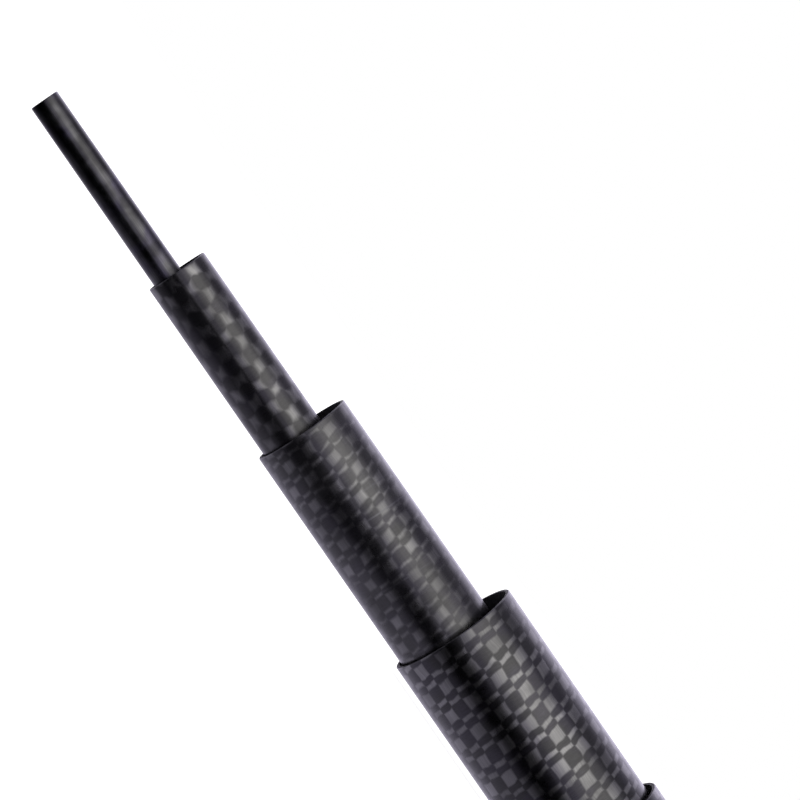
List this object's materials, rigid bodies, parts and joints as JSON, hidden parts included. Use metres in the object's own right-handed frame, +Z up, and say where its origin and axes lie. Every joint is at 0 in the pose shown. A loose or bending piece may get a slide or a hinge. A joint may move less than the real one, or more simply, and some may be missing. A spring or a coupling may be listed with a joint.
{
  "type": "carp pole",
  "caption": "Telescopic carbon hand pole for carp, sections part drawn: thin-walled tapered tubes in plain weave, rubber grip, fluted screw cap with a swivel lanyard ring.",
  "frame": {"origin": "middle of the bounding box in X and Y, on the floor that the pole lies on", "axes": "+Z up; the pole lies along X, its thin end towards -X and its butt cap towards +X"},
  "size_m": [1.2698, 0.0276, 0.0276],
  "materials": {
    "carbon_weave": "clear-coated plain-weave carbon",
    "plain_carbon": "clear-coated plain black carbon",
    "tip_carbon": "ground and lacquered solid carbon",
    "ferrule_steel": "polished",
    "grip_rubber": "matte, textured",
    "ring_alloy": "anodised grey, satin",
    "collar_alloy": "anodised grey, turned",
    "cap_alloy": "anodised black, turned",
    "seal_rubber": "smooth black",
    "buffer_foam": "closed-cell foam",
    "bush_brass": "turned",
    "swivel_steel": "polished",
    "washer_nylon": "natural nylon",
    "ring_steel": "polished wire"
  },
  "bodies": {
    "butt": {"butt_section": "carbon_weave", "grip_sleeve": "grip_rubber", "grip_front_ring": "ring_alloy", "butt_collar": "collar_alloy"},
    "fifth": {"fifth_section": "carbon_weave"},
    "fourth": {"fourth_section": "carbon_weave"},
    "third": {"third_section": "carbon_weave"},
    "second": {"second_section": "plain_carbon"},
    "tip": {"tip_rod": "tip_carbon", "tip_ferrule": "ferrule_steel"},
    "cap_seal": {"cap_seal_ring": "seal_rubber"},
    "cap": {"butt_cap": "cap_alloy", "cap_buffer": "buffer_foam", "swivel_bush": "bush_brass", "swivel_washer": "washer_nylon"},
    "swivel": {"swivel_eye": "swivel_steel", "swivel_retainer": "swivel_steel"},
    "lanyard": {"lanyard_ring": "ring_steel"}
  },
  "joints": [
    {"name": "fifth_slide", "type": "slide", "parent": "butt", "child": "fifth", "axis": [-1, 0, -0.0022], "range_m": [-0.0349, 1.0094]},
    {"name": "fourth_slide", "type": "slide", "parent": "fifth", "child": "fourth", "axis": [-1, 0, -0.0022], "range_m": [-0.0355, 1.0058]},
    {"name": "third_slide", "type": "slide", "parent": "fourth", "child": "third", "axis": [-1, 0, -0.0022], "range_m": [-0.0289, 1.0094]},
    {"name": "second_slide", "type": "slide", "parent": "third", "child": "second", "axis": [-1, 0, -0.0023], "range_m": [-0.0306, 1.0047]},
    {"name": "tip_slide", "type": "slide", "parent": "second", "child": "tip", "axis": [-1, 0, -0.0024], "range_m": [0, 1.0323]},
    {"name": "cap_travel", "type": "slide", "parent": "butt", "child": "cap_seal", "axis": [1, 0, 0.0034], "range_m": [0, 0.009]},
    {"name": "cap_turn", "type": "hinge", "parent": "cap_seal", "child": "cap", "pos_m": [0.61964, 0, 0.01378], "axis": [1, 0, 0.0034], "range_deg": [0, 2160]},
    {"name": "swivel_spin", "type": "hinge", "parent": "cap", "child": "swivel", "pos_m": [0.63074, 0, 0.01382], "axis": [1, 0, 0.0034], "continuous": true},
    {"name": "ring_swing", "type": "hinge", "parent": "swivel", "child": "lanyard", "pos_m": [0.63074, 0, 0.01382], "axis": [0, -1, 0], "range_deg": [-25, 205]}
  ],
  "couplings": [
    {"joint": "cap_travel", "follows": "cap_turn", "m_per_rad": 0.0002387}
  ]
}
